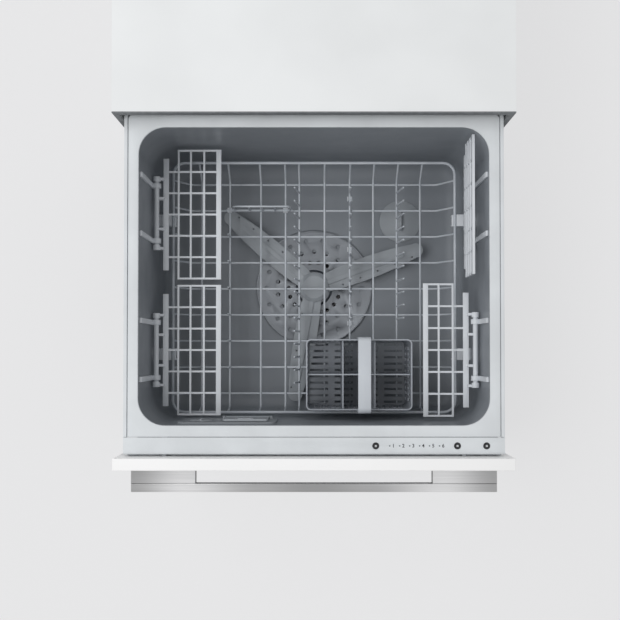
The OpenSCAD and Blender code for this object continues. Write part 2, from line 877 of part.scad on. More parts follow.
module wash_motor()
    color("black")
        translate([0, tub_mid, pump_z]) {
            translate([0, 0, -4]) cylinder(h = 4, d = 116);
            translate([0, 0, -22]) cylinder(h = 18.1, d = 100);
            for (a = [0:20:340])
                rotate(a) translate([48, -1.2, -20]) cube([7, 2.4, 17]);
            translate([0, 0, -26]) cylinder(h = 4.1, d1 = 70, d2 = 92);
            translate([0, 0, -28]) cylinder(h = 2.1, d = 36);
            translate([44, 8, -21]) cube([14, 22, 14]);
        }

module heater()
    color("silver")
        translate([0, tub_mid, 50])
            difference() {
                cylinder(h = 7, d = 104);
                translate([0, 0, -1]) cylinder(h = 9, d = 84);
                translate([-3, 38, -1]) cube([6, 20, 9]);
            }

module drain_pump()
    color("black") {
        mid = out(tub_front / 2 + 7);
        rod_x([86, 112], mid, 52, 44);
        rod_x([112, 134], mid, 52, 38);
        rod_x([134, 150], mid, 52, 30);
        for (a = [0:40:320])
            translate([112, mid, 52]) rotate([a, 0, 0]) translate([0, 17, -1]) cube([20, 4, 2]);
        block([sump_d / 2 + 8.1, 90], span(mid, 14), [50, 72]);
        block([96, 124], span(mid, 8), [60, floor_z - tub_t]);
        rod_y(98, [mid, mid + 42], 40, 16);
        for (i = [0:2])
            rod_y(98, [mid + 26 + 6 * i, mid + 28 + 6 * i], 40, 18.4);
    }

module drain_filter()
    color("gray")
        translate([filter_x, out(filter_out), 0])
            difference() {
                union() {
                    translate([0, 0, floor_z - tub_t - 22]) cylinder(h = tub_t + 25, d = 59.4);
                    translate([0, 0, floor_z + play]) cylinder(h = 3, d = 74);
                    plate_x([-2, 2], [-18, 18], [floor_z + play, floor_z + 12], 5);
                }
                translate([0, 0, floor_z - tub_t - 20]) cylinder(h = 18, d = 50);
                for (i = [0:11])
                    rotate(30 * i) translate([20, -3.5, floor_z - 20]) cube([12, 7, 12]);
            }

module filter_plate()
    color("lightgray")
        translate([0, tub_mid, floor_z])
            difference() {
                union() {
                    cylinder(h = 3, d = 210);
                    translate([0, 0, 3]) cylinder(h = 4, d1 = 66, d2 = 58);
                    difference() {
                        cylinder(h = 4.5, d1 = 210, d2 = 207);
                        translate([0, 0, 1]) cylinder(h = 4, d = 202);
                    }
                }
                translate([0, 0, -1]) cylinder(h = 20, d = 30);
                for (ring = [0:2], i = [0:17])
                    rotate(20 * i + 10 * (ring % 2)) translate([46 + 20 * ring, 0, -1])
                        cylinder(h = 6, d = 8, $fn = 6);
            }

module spray_arm()
    color("gray")
        translate([0, tub_mid, arm_z])
            difference() {
                union() {
                    cylinder(h = 14, d = 52);
                    translate([0, 0, 14]) cylinder(h = 4, d1 = 52, d2 = 40);
                    for (a = [20, 140, 260])
                        rotate(a) spray_blade();
                }
                translate([0, 0, -1]) cylinder(h = 15, d = 12);
                for (a = [20, 140, 260], i = [0:4])
                    rotate(a) translate([50 + 33 * i, -13 + i, 4])
                        cylinder(h = 12, d = 3.4, $fn = 6);
            }

// one blade of the spray arm: two arcs that meet a round tip, and a rib along it
module spray_blade() {
    tip_r = 12.6;
    bow_r = 640;
    half_w = 20;
    linear_extrude(11) {
        intersection() {
            translate([spray_reach * 0.45, bow_r - half_w]) circle(bow_r, $fn = 360);
            translate([spray_reach * 0.45, half_w - bow_r]) circle(bow_r, $fn = 360);
            translate([0, -2 * half_w]) square([spray_reach - tip_r, 4 * half_w]);
        }
        translate([spray_reach - tip_r, 0]) circle(tip_r);
    }
    plate_z([0, spray_reach - 36], [-4, 4], [10, 13.4], 3);
}

module drying_fan()
    color("black")
        difference() {
            union() {
                rod_y(fan_x, [out(tub_front + 8), out(strip_out - 4)], runner_z, 64);
                block([fan_x - 10, fan_x + 10], [out(tub_front + 8), out(tub_front + 26)],
                      [runner_z, duct_z]);
                plate_y([fan_x - 10, fan_x + 10], [out(tub_front + tub_t), out(tub_front + 10)],
                        [duct_z - 18, duct_z], 4);
            }
            difference() {
                rod_y(fan_x, [out(strip_out - 10), out(strip_out)], runner_z, 46);
                rod_y(fan_x, [out(strip_out - 12), out(strip_out - 5)], runner_z, 20);
                for (a = [0:60:300])
                    translate([fan_x, 0, runner_z]) rotate([0, a, 0])
                        block([0, 30], [out(strip_out - 11), out(strip_out - 7)], [-1.5, 1.5]);
            }
        }

module link_manifold()
    color("dimgray")
        difference() {
            union() {
                plate_y([-60, 60], [out(90), out(46)], [40, floor_z - tub_t], 9);
                block([-52, 52], [out(90), out(46)], [floor_z - tub_t - 12, floor_z - tub_t]);
            }
            for (x = link_xs)
                rod_y(x, [out(70), out(44)], 58, 16);
        }

// ---------- racks ----------

function pivot_z(side, i) = side > 0 && i == 1 ? cup_pivot_high : cup_pivot_z;

// arms clipped over the tub's edge, each ending in an eye for a cup rack's spine, and
// ledges under the base rack's rail
module rack_arms()
    color("lightgray") {
        both_sides()
            for (run = ledge_runs)
                difference() {
                    block([rail_half - rail_d, tub_w / 2], span(out(run), 10),
                          [rail_z - 14, rail_z + 3]);
                    block([0, rail_half + rail_d / 2 + play], span(out(run), 11),
                          [rail_z - rail_d / 2, rail_z + 4]);
                    block([0, rail_half - rail_d + 14], span(out(run), 7),
                          [rail_z - 15, rail_z - 5]);
                }
        for (side = [-1, 1], i = [0, 1], end = [-1, 1])
            on_side(side)
                translate([cup_pivot_x, out(cup_mids[i] + end * arm_gap) - arm_w / 2, 0])
                    difference() {
                        z = pivot_z(side, i);
                        wall = tub_w / 2 - cup_pivot_x;
                        union() {
                            block([wall - 3.5, wall], [0, arm_w], [z, lip_z - 8]);
                            block([2, wall], [0, arm_w], span(z, 4));
                            rod_y(0, [0, arm_w], z, eye_d);
                        }
                        rod_y(0, [-1, arm_w + 1], z, cup_spine_d + 2 * play);
                    }
    }

// a cup rack with its spine on the origin, reaching along +X
module cup_rack(reach, slats) {
    color("lightgray") {
        rod_y(0, [-60, 60], 0, cup_spine_d);
        for (end = [-1, 1])
            rod_y(0, end * [52, 60], 0, 12);
        for (y = [-57, -25, 25, 57])
            block([-2, 12], span(y, 2), [-13, 0]);
        block([9, 18], [15 - cup_len / 2, cup_len / 2 - 15], [-14, -11]);
        block([reach - 8, reach], [-cup_len / 2, cup_len / 2], [-15, -11]);
        for (x = slats)
            block([x - 1.5, x + 1.5], [-cup_len / 2, cup_len / 2], [-15, -11]);
        for (i = [-3:3])
            block([abs(i) == 3 ? slats[0] : 9, reach - 1], span(i * (cup_len - 3) / 6, 1.5),
                  [-14, -11.5]);
    }
}

module placed_cup_rack(side, i, reach, slats, lift = 0)
    on_side(side)
        translate([cup_pivot_x, out(cup_mids[i]), pivot_z(side, i)])
            rotate([0, 180 + lift, 0]) mirror([0, 0, 1])
                cup_rack(reach, slats);

// the part of a wire that runs on the far side of a plane across it
module cut_wires(x, run, z)
    intersection() {
        children();
        block(x, [out(run[0]), out(run[1])], z);
    }

// one floor grid, and a comb of risers under a length of rail on each side
module base_rack()
    color("lightsteelblue") {
        inner = rail_half - bend_run;
        sides = rail_half + rail_d;
        low = rail_back + bend_run;
        high = rail_front - front_bend;
        for (run = cross_runs)
            rod_x([-inner, inner], out(run), grid_z, wire_d, $fn = wire_sides);
        for (x = long_xs)
            rod_y(x, [out(high), out(low)], tine_z, wire_d, $fn = wire_sides);
        both_sides() {
            rod_y(rail_half, [out(rail_front - rail_d / 2 - weld), out(rail_back + rail_d / 2 + weld)],
                  rail_z, rail_d, $fn = wire_sides);
            cut_wires([inner + weld, sides], [0, 500], [0, rim_z])
                for (run = cross_runs)
                    wire([inner, out(run), grid_z], [rail_half, out(run), rail_z]);
        }
        for (end = [[rail_back, low, 0, low - weld], [rail_front, high, high + weld, 500]]) {
            rod_x([-rail_half - rail_d / 2, rail_half + rail_d / 2], out(end[0]), rail_z, rail_d,
                  $fn = wire_sides);
            cut_wires([-sides, sides], [end[2], end[3]], [0, rim_z])
                for (x = long_xs)
                    wire([x, out(end[1]), tine_z], [x, out(end[0]), rail_z]);
        }
    }

// a tine on a long wire, its foot cut level with the wire's top
module tine(x, run, h, lean = 0)
    cut_wires([x - 20, x + 20], [run - 5, run + 5], [tine_foot, rim_z])
        wire([x, out(run), tine_z], [x + lean, out(run), tine_z + h], wire_d);

module rack_tines()
    color("lightsteelblue") {
        for (i = [0:15])
            tine(-26, 78 + tine_pitch * i, tine_h, -7);
        for (i = [0:10])
            tine(144, 78 + tine_pitch * i, tine_h, 7);
        for (i = [2:7])
            tine(-147, cross_runs[i], 38);
    }

// clips that sit on the long wires and hold the rods of the fold-down rows
module fold_clips()
    color("lightgray") {
        for (i = [0.5, 4.5, 10.35])
            fold_clip(62, 78 + tine_pitch * i, 0);
        for (x = [-147, -50])
            fold_clip(x, cross_runs[1], 90);
    }

module fold_clip(x, run, turn)
    translate([x, out(run), 0])
        difference() {
            union() {
                translate([0, 0, fold_z]) rotate(turn) rod_y(0, [-4, 4], 0, 9);
                block([-4.5, 4.5], [-4, 4], [grid_z + wire_d / 2 + play, fold_z]);
            }
            translate([0, 0, fold_z]) rotate(turn) rod_y(0, [-5, 5], 0, fold_rod_d + 2 * play);
            block([-wire_d / 2 - 0.1, wire_d / 2 + 0.1], [-5, 5], [0, tine_foot]);
        }

module plate_tines()
    color("lightsteelblue") {
        rod_y(62, [out(72), out(78 + tine_pitch * 10 + 14)], fold_z, fold_rod_d);
        for (i = [0:10])
            wire([62, out(78 + tine_pitch * i), fold_z],
                 [62, out(78 + tine_pitch * i), fold_z + tine_h - 6]);
    }

module bowl_tines()
    color("lightsteelblue") {
        rod_x([-152, -38], out(cross_runs[1]), fold_z, fold_rod_d);
        for (x = [-138, -112, -90, -68, -42])
            wire([x, out(cross_runs[1]), fold_z], [x, out(cross_runs[1]), fold_z + 46]);
        wire([-139, out(cross_runs[1]), fold_z + 46], [-41, out(cross_runs[1]), fold_z + 46]);
    }

module in_basket()
    translate([basket_x, out(basket_out), basket_z]) children();

// a shell with slotted walls and a floor with fine slots
module cutlery_basket()
    color("darkgray")
        in_basket()
            difference() {
                linear_extrude(basket_h) rounded_outline(basket_w, basket_d, 8);
                translate([0, 0, 2.5])
                    linear_extrude(basket_h)
                        rounded_outline(basket_w - 2 * basket_t, basket_d - 2 * basket_t, 6);
                for (z = [[12, 56], [62, 98]]) {
                    for (i = [-7.5:7.5])
                        block(span(i * slot_pitch, slot_w / 2), [-basket_d, basket_d], z);
                    for (i = [-4.5:4.5])
                        block([-basket_w, basket_w], span(i * slot_pitch, slot_w / 2), z);
                }
                for (i = [-1.5:1.5], j = [-4.5:4.5])
                    block(span(i * 43, 16), span(j * 11, drip_w / 2), [-1, 4]);
            }

// a crossed insert that makes six cells of the basket
module basket_dividers()
    color("darkgray")
        in_basket() {
            block(span(0, basket_w / 2 - basket_t - play), [-1, 1], [2.5, basket_h - 8]);
            for (x = [-divider_x, divider_x])
                block([x - 1, x + 1], span(0, basket_d / 2 - basket_t - play),
                      [2.5, basket_h - 8]);
        }

module basket_handle()
    color("lightgray") {
        y = span(out(basket_out), basket_d / 2 + 3);
        z = basket_z + basket_h;
        along_x([basket_x - 3.5, basket_x + 17])
            difference() {
                pad(y, [z - 60, z + 46], 9);
                pad(y + [3, -3], [z - 70, z + 38], 5);
                translate([y[0] - 1, z - 70]) square([basket_d + 8, 30]);
            }
    }

cabinet_wrap();
base_pan();
back_panel();
front_gasket();
fixing_plates();
runner_outer();
yoke_guides();
lid_actuators();
inlet_valve();
drain_outlet();
mains_gland();
link_elbow();
lid();
lid_seal();
yoke(-1);  // yoke_left
yoke(1);  // yoke_right
runner_middle(-1);  // runner_middle_left
runner_middle(1);  // runner_middle_right
tub();
tub_rim();
side_trims();
control_strip();
indicator_lights();
control_housing();
control_board();
front_frame();
side_plates();
runner_inner();
door_panel();
front_screws();
handle_bar();
handle_blocks();
dispenser_body();
dispenser_flap();
rinse_aid_cap();
pump_housing();
wash_motor();
heater();
drain_pump();
drain_filter();
filter_plate();
drying_fan();
link_manifold();
rack_arms();
base_rack();
rack_tines();
fold_clips();
push_button(button_xs[0]);  // program_button
push_button(button_xs[1]);  // option_button
push_button(button_xs[2]);  // start_button
spray_arm();
placed_cup_rack(-1, 0, cup_reach, wide_slats);  // cup_rack_left_rear
placed_cup_rack(-1, 1, cup_reach, wide_slats);  // cup_rack_left_front
placed_cup_rack(1, 1, cup_reach_small, narrow_slats);  // cup_rack_right_front
placed_cup_rack(1, 0, cup_reach, wide_slats, 90);  // cup_rack_right_rear
plate_tines();
bowl_tines();
cutlery_basket();
basket_dividers();
basket_handle();
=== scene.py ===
import math

import bmesh
import bpy
from mathutils import Matrix, Vector


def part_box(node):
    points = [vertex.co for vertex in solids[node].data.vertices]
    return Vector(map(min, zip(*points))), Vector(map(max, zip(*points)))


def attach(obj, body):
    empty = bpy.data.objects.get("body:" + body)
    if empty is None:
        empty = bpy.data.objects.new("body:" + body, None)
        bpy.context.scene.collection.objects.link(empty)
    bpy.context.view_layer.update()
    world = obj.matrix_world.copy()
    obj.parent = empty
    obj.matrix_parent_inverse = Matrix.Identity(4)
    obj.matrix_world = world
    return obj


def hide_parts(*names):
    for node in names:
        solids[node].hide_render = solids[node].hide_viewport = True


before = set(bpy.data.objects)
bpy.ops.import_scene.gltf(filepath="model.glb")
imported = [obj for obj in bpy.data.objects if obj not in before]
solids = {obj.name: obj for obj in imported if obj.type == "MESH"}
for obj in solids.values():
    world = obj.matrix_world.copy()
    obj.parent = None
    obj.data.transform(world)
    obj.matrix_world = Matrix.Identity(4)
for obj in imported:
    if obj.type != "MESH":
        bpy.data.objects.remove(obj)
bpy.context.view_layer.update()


# ---------- chassis sheets ----------
# The cabinet-fixed box: one folded wrap, a pan below and a plate behind, all of zinc-coated
# steel sheet under a thin pale lacquer, folded, spot welded and screwed. A rubber gasket is
# pressed on round its open front.

def srgb(red, green, blue):
    """A colour as a screen shows it, 0 to 255, on Blender's linear scale."""
    parts = [value / 255 for value in (red, green, blue)]
    return tuple(p / 12.92 if p < 0.04 else ((p + 0.055) / 1.055) ** 2.4 for p in parts) + (1.0,)


def toned(colour, factor):
    """The colour, darker or lighter by a factor."""
    return tuple(c * factor for c in colour[:3]) + (1.0,)


def finish_named(name, colour, roughness, metallic=0.0):
    """A new finish with a plain colour; returns it with its node tree and shader."""
    finish = bpy.data.materials.new(name)
    finish.use_nodes = True
    shader = finish.node_tree.nodes["Principled BSDF"]
    shader.inputs["Base Color"].default_value = colour
    shader.inputs["Roughness"].default_value = roughness
    shader.inputs["Metallic"].default_value = metallic
    finish.diffuse_color = colour
    return finish, finish.node_tree, shader


def grain(tree, scale, detail=2.0, stretch=(1, 1, 1)):
    """Noise over the piece's own place, with scale in features per metre."""
    place = tree.nodes.new("ShaderNodeTexCoord")
    turn = tree.nodes.new("ShaderNodeMapping")
    turn.inputs["Scale"].default_value = stretch
    noise = tree.nodes.new("ShaderNodeTexNoise")
    noise.inputs["Scale"].default_value = scale
    noise.inputs["Detail"].default_value = detail
    tree.links.new(place.outputs["Object"], turn.inputs["Vector"])
    tree.links.new(turn.outputs["Vector"], noise.inputs["Vector"])
    return noise.outputs["Fac"]


def tint(tree, shader, source, dark, light, low=0.35, high=0.65):
    """The shader's colour runs from dark to light as the source rises from low to high."""
    ramp = tree.nodes.new("ShaderNodeValToRGB")
    ramp.color_ramp.elements[0].position = low
    ramp.color_ramp.elements[0].color = dark
    ramp.color_ramp.elements[1].position = high
    ramp.color_ramp.elements[1].color = light
    tree.links.new(source, ramp.inputs["Fac"])
    tree.links.new(ramp.outputs["Color"], shader.inputs["Base Color"])


def stretched(tree, source, low, high):
    """The middle part of a noise, 0.3 to 0.7, stretched to run from low to high."""
    spread = tree.nodes.new("ShaderNodeMapRange")
    spread.inputs["From Min"].default_value = 0.3
    spread.inputs["From Max"].default_value = 0.7
    spread.inputs["To Min"].default_value = low
    spread.inputs["To Max"].default_value = high
    tree.links.new(source, spread.inputs["Value"])
    return spread.outputs["Result"]


def vary_roughness(tree, shader, source, low, high):
    """Roughness runs between two values with the source."""
    tree.links.new(stretched(tree, source, low, high), shader.inputs["Roughness"])


def relief(tree, shader, source, depth, strength):
    """The source raises the surface by up to depth metres."""
    bump = tree.nodes.new("ShaderNodeBump")
    bump.inputs["Strength"].default_value = strength
    bump.inputs["Distance"].default_value = depth
    tree.links.new(source, bump.inputs["Height"])
    tree.links.new(bump.outputs["Normal"], shader.inputs["Normal"])


def coated_sheet(name, colour):
    """Coated steel sheet: a faint drift in its tone and the peel of a thin lacquer."""
    finish, tree, shader = finish_named(name, colour, 0.45)
    drift = grain(tree, scale=5, detail=3)
    tint(tree, shader, drift, toned(colour, 0.96), toned(colour, 1.03))
    vary_roughness(tree, shader, drift, 0.38, 0.52)
    relief(tree, shader, grain(tree, scale=420), depth=0.00012, strength=0.25)
    return finish


def matt_rubber(name, colour):
    """Extruded rubber: a pale bloom in patches and a fine dull grain."""
    finish, tree, shader = finish_named(name, colour, 0.75)
    bloom = grain(tree, scale=90, detail=4)
    tint(tree, shader, bloom, toned(colour, 0.9), toned(colour, 1.14))
    relief(tree, shader, grain(tree, scale=1500, detail=1), depth=0.0001, strength=0.3)
    return finish


def placed(name, data):
    """A new object at the origin for a mesh, lamp, text or camera."""
    thing = bpy.data.objects.new(name, data)
    bpy.context.scene.collection.objects.link(thing)
    return thing


def as_mesh(piece):
    """Replaces a piece's live modifiers by their result."""
    graph = bpy.context.evaluated_depsgraph_get()
    mesh = bpy.data.meshes.new_from_object(piece.evaluated_get(graph))
    piece.modifiers.clear()
    piece.data = mesh


merge_distance = 2e-6
flat_angle = math.radians(0.5)
rounded_angle = math.radians(40)
sharp_angle = math.radians(32)


def eased(node, body, finish, width=0.0004, steps=2):
    """A copy of a solid whose sharp edges are rounded by width, which stands for it."""
    mesh = solids[node].data.copy()
    shape = bmesh.new()
    shape.from_mesh(mesh)
    bmesh.ops.remove_doubles(shape, verts=shape.verts, dist=merge_distance)
    bmesh.ops.dissolve_limit(shape, angle_limit=flat_angle, verts=shape.verts, edges=shape.edges)
    shape.to_mesh(mesh)
    shape.free()
    if "custom_normal" in mesh.attributes:
        mesh.attributes.remove(mesh.attributes["custom_normal"])
    piece = placed(node + "_eased", mesh)
    if width:
        rounding = piece.modifiers.new("rounded edges", "BEVEL")
        rounding.width = width
        rounding.segments = steps
        rounding.limit_method = "ANGLE"
        rounding.angle_limit = rounded_angle
        as_mesh(piece)
    piece.data.shade_smooth()
    piece.data.set_sharp_from_angle(angle=sharp_angle)
    piece.data.materials.clear()
    piece.data.materials.append(finish)
    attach(piece, body)
    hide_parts(node)
    return piece


chassis_lacquer = coated_sheet("chassis_lacquer", srgb(232, 234, 235))
eased("cabinet_wrap", "chassis", chassis_lacquer, width=0.0003, steps=1)
eased("base_pan", "chassis", chassis_lacquer, width=0.0003, steps=1)
eased("back_panel", "chassis", chassis_lacquer, width=0.0002, steps=1)
gasket_rubber = matt_rubber("gasket_rubber", srgb(118, 121, 124))
eased("front_gasket", "chassis", gasket_rubber, width=0.0003)


# ---------- fixing plates, runners and brackets ----------
# Bare zinc-plated steel: drilled plates for the cabinet screws, brackets that carry the tub and
# the panel, and three nested sections a side, roll-formed from strip. The middle ones travel
# half as far as the drawer.

def zinc_plate(name, colour, along=(1, 1, 1)):
    """Zinc plating: spangles of its own tone and dull streaks along the rolling."""
    finish, tree, shader = finish_named(name, colour, 0.32, 1.0)
    place = tree.nodes.new("ShaderNodeTexCoord")
    spangle = tree.nodes.new("ShaderNodeTexVoronoi")
    spangle.inputs["Scale"].default_value = 70
    flake = tree.nodes.new("ShaderNodeSeparateColor")
    tree.links.new(place.outputs["Object"], spangle.inputs["Vector"])
    tree.links.new(spangle.outputs["Color"], flake.inputs["Color"])
    tint(tree, shader, flake.outputs["Red"], toned(colour, 0.86), toned(colour, 1.1), 0.0, 1.0)
    streaks = grain(tree, scale=160, detail=3, stretch=along)
    vary_roughness(tree, shader, streaks, 0.24, 0.42)
    relief(tree, shader, streaks, depth=0.00006, strength=0.2)
    return finish


runner_zinc = zinc_plate("runner_zinc", srgb(186, 190, 194), along=(6, 0.3, 6))
plate_zinc = zinc_plate("plate_zinc", srgb(178, 181, 185))
eased("fixing_plates", "chassis", plate_zinc, width=0.0003, steps=1)
eased("runner_outer", "chassis", runner_zinc)
for side in ("left", "right"):
    eased(f"runner_middle_{side}", f"runner_middle_{side}", runner_zinc)
eased("runner_inner", "drawer", runner_zinc)
eased("side_plates", "drawer", plate_zinc, width=0.0003, steps=1)
eased("front_frame", "drawer", plate_zinc, width=0.0003, steps=1)


# ---------- services at the back and lid gear ----------
# The water valve's threaded spigot, the drain spigot, the mains gland and the chassis end of
# the hose link, with the guides and actuators of the lid's slotted bars: injection-moulded
# nylon and polypropylene, clipped and screwed into the chassis.

def moulded(name, colour, roughness, depth=0.00008):
    """Injection-moulded plastic: a fine spark-eroded grain and a faint cloud in its colour."""
    finish, tree, shader = finish_named(name, colour, roughness)
    cloud = grain(tree, scale=14, detail=3)
    tint(tree, shader, cloud, toned(colour, 0.95), toned(colour, 1.04))
    wear = grain(tree, scale=60, detail=3)
    vary_roughness(tree, shader, wear, roughness - 0.06, roughness + 0.08)
    relief(tree, shader, grain(tree, scale=1400), depth, strength=0.35)
    return finish


valve_nylon = moulded("valve_nylon", srgb(236, 237, 236), roughness=0.36)
machine_black = moulded("machine_black", srgb(38, 39, 41), roughness=0.5)
eased("inlet_valve", "chassis", valve_nylon)
for node in ("drain_outlet", "mains_gland", "link_elbow", "yoke_guides", "lid_actuators"):
    eased(node, "chassis", machine_black)


# ---------- wash lid ----------
# A ribbed lid that stays in the chassis and comes down on the rim once the drawer is shut,
# with a rubber seal under it. Slotted steel bars at its sides lift it by its four pins.

lid_white = moulded("lid_white", srgb(214, 217, 219), roughness=0.45)
seal_grey = matt_rubber("seal_grey", srgb(88, 91, 94))
eased("lid", "lid", lid_white, width=0.0006)
eased("lid_seal", "lid", seal_grey, width=0.0008)
eased("yoke_left", "yoke_left", plate_zinc, width=0.0003, steps=1)
eased("yoke_right", "yoke_right", plate_zinc, width=0.0003, steps=1)


# ---------- tub and wash system ----------
# One deep moulding in dark grey polypropylene with rounded corners and foot. The pump well
# hangs under its floor, with the motor, pump and heater on it, and the spray arm turns above.

def polypropylene(name, colour):
    """Satin tub plastic: flow lines that drift down the walls, a soft sheen and fine grain."""
    finish, tree, shader = finish_named(name, colour, 0.34)
    flow = grain(tree, scale=4, detail=4, stretch=(1, 1, 0.4))
    tint(tree, shader, flow, toned(colour, 0.94), toned(colour, 1.06), 0.3, 0.7)
    vary_roughness(tree, shader, grain(tree, scale=22, detail=3), 0.28, 0.42)
    relief(tree, shader, grain(tree, scale=900), depth=0.0001, strength=0.25)
    shader.inputs["Specular IOR Level"].default_value = 0.45
    return finish


def satin_steel(name, colour):
    """Stainless sheet with a fine even satin and a faint drift in its tone."""
    finish, tree, shader = finish_named(name, colour, 0.42, 1.0)
    tint(tree, shader, grain(tree, scale=9), toned(colour, 0.94), toned(colour, 1.05))
    satin = grain(tree, scale=900)
    vary_roughness(tree, shader, satin, 0.36, 0.48)
    relief(tree, shader, satin, depth=0.00003, strength=0.2)
    return finish


tub_plastic = polypropylene("tub_plastic", srgb(138, 143, 149))
eased("tub", "drawer", tub_plastic, width=0)
eased("pump_housing", "drawer", tub_plastic)
for node in ("wash_motor", "drain_pump", "drying_fan", "link_manifold"):
    eased(node, "drawer", machine_black, width=0.0005)
heater_sheath = zinc_plate("heater_sheath", srgb(160, 160, 162))
eased("heater", "drawer", heater_sheath, width=0.0008)
filter_steel = satin_steel("filter_steel", srgb(148, 152, 157))
eased("filter_plate", "drawer", filter_steel)
arm_grey = moulded("arm_grey", srgb(158, 163, 168), roughness=0.38)
eased("drain_filter", "drain_filter", arm_grey, width=0.0005)
eased("spray_arm", "spray_arm", arm_grey, width=0.0012, steps=3)


# ---------- detergent dispenser ----------
# A moulded box let into the front wall of the tub, with a hinged flap over the powder cup and
# a turning cap on the rinse-aid tank.

dispenser_grey = moulded("dispenser_grey", srgb(138, 143, 148), roughness=0.4)
cover_grey = moulded("cover_grey", srgb(168, 173, 178), roughness=0.35)
eased("dispenser_body", "drawer", dispenser_grey, width=0.0008)
eased("dispenser_flap", "dispenser_flap", cover_grey, width=0.0006)
eased("rinse_aid_cap", "rinse_aid_cap", cover_grey, width=0.0008, steps=3)


# ---------- rim, side trims and control strip ----------
# Pale grey mouldings with a fine satin grain. The trims run along the rim behind a narrow
# groove, and the strip closes the gap to the panel. The circuit board and its small lights sit
# in a black housing under it.

rim_plastic = moulded("rim_plastic", srgb(214, 218, 221), roughness=0.4, depth=0.00006)
eased("tub_rim", "drawer", rim_plastic, width=0.0012, steps=3)
eased("side_trims", "drawer", rim_plastic, width=0.001, steps=3)
eased("control_strip", "drawer", rim_plastic, width=0.0008, steps=3)
eased("control_housing", "drawer", machine_black, width=0.0005)


def solder_mask(name):
    """A circuit board's green, darker between its copper tracks."""
    finish, tree, shader = finish_named(name, srgb(32, 92, 52), 0.35)
    tracks = grain(tree, scale=300, detail=1)
    tint(tree, shader, tracks, srgb(22, 70, 40), srgb(48, 112, 66), 0.48, 0.52)
    return finish


board_green = solder_mask("board_green")
eased("control_board", "drawer", board_green, width=0)
lens_clear = moulded("lens_clear", srgb(120, 128, 130), roughness=0.15, depth=0.00001)
eased("indicator_lights", "drawer", lens_clear, width=0.0001, steps=1)


# ---------- push buttons and printed numbers ----------
# Three round black caps that sink a little when pressed, each with a pale ring moulded into
# the dish in its top. The marks beside them are plain numbers, screen printed on the strip.

cap_black = moulded("cap_black", srgb(28, 29, 31), roughness=0.3)
mark_pale = moulded("mark_pale", srgb(226, 229, 231), roughness=0.4, depth=0.00001)
ring_inner = 0.0007
ring_outer = 0.0015
ring_thick = 0.00008
ring_sunk = 0.00028
ring_turns = 40


def skin_between(shape, sections):
    """Faces from each four-cornered section to the next."""
    for near, far in zip(sections, sections[1:]):
        for k in range(4):
            shape.faces.new((near[k], near[(k + 1) % 4], far[(k + 1) % 4], far[k]))


def closed_piece(name, shape, finish):
    """A new piece of a closed shape, its faces turned outwards."""
    bmesh.ops.recalc_face_normals(shape, faces=shape.faces)
    mesh = bpy.data.meshes.new(name)
    shape.to_mesh(mesh)
    shape.free()
    mesh.materials.append(finish)
    return placed(name, mesh)


def flat_ring(name, centre, finish):
    """The pale ring of a button, about an upright axis, closed on all sides."""
    shape = bmesh.new()
    sections = []
    for step in range(ring_turns):
        angle = 2 * math.pi * step / ring_turns
        section = []
        for reach, rise in ((ring_inner, 0), (ring_outer, 0), (ring_outer, ring_thick),
                            (ring_inner, ring_thick)):
            section.append(shape.verts.new(centre + Vector((reach * math.cos(angle),
                                                            reach * math.sin(angle), rise))))
        sections.append(section)
    skin_between(shape, sections + sections[:1])
    return closed_piece(name, shape, finish)


for button in ("program_button", "option_button", "start_button"):
    eased(button, button, cap_black)
    low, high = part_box(button)
    dish = Vector(((low.x + high.x) / 2, (low.y + high.y) / 2, high.z - ring_sunk))
    ring = flat_ring(button + "_ring", dish, mark_pale)
    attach(ring, button)

print_grey = moulded("print_grey", srgb(40, 42, 45), roughness=0.5, depth=0.00001)
number_height = 0.0074
ink_thick = 0.00003
stroke_gain = 0.00016
number_count = 6
number_pitch = 0.015
light_margin = 0.004
number_shift = 0.0055


def printed_number(text, x, y, z):
    """A number printed on the strip, its foot towards the front."""
    letters = bpy.data.curves.new("number_" + text, "FONT")
    letters.body = text
    letters.size = number_height
    letters.align_x = "CENTER"
    letters.align_y = "CENTER"
    letters.extrude = ink_thick
    letters.offset = stroke_gain
    mark = placed("number_" + text, letters)
    as_printed = bpy.data.meshes.new_from_object(
        mark.evaluated_get(bpy.context.evaluated_depsgraph_get()))
    bpy.data.objects.remove(mark)
    as_printed.transform(Matrix.Translation((x, y, z)))
    piece = placed("number_" + text, as_printed)
    piece.data.materials.clear()
    piece.data.materials.append(print_grey)
    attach(piece, "drawer")


strip_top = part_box("control_strip")[1].z
lights_low, lights_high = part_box("indicator_lights")
light_y = (lights_low.y + lights_high.y) / 2
for index in range(number_count):
    light_x = lights_low.x + light_margin + number_pitch * index
    printed_number(str(index + 1), light_x + number_shift, light_y, strip_top)


# ---------- door panel and screws ----------
# An 18 mm board with a white satin lacquer and softened edges, screwed to the front frame from
# behind with screws that stop short of its face.

def sprayed_lacquer(name):
    """White satin lacquer: an even tone with the faint peel of the spray."""
    finish, tree, shader = finish_named(name, srgb(246, 246, 246), 0.32)
    tint(tree, shader, grain(tree, scale=3), srgb(243, 243, 243), srgb(248, 248, 248))
    vary_roughness(tree, shader, grain(tree, scale=12), 0.28, 0.36)
    relief(tree, shader, grain(tree, scale=260), depth=0.00005, strength=0.2)
    return finish


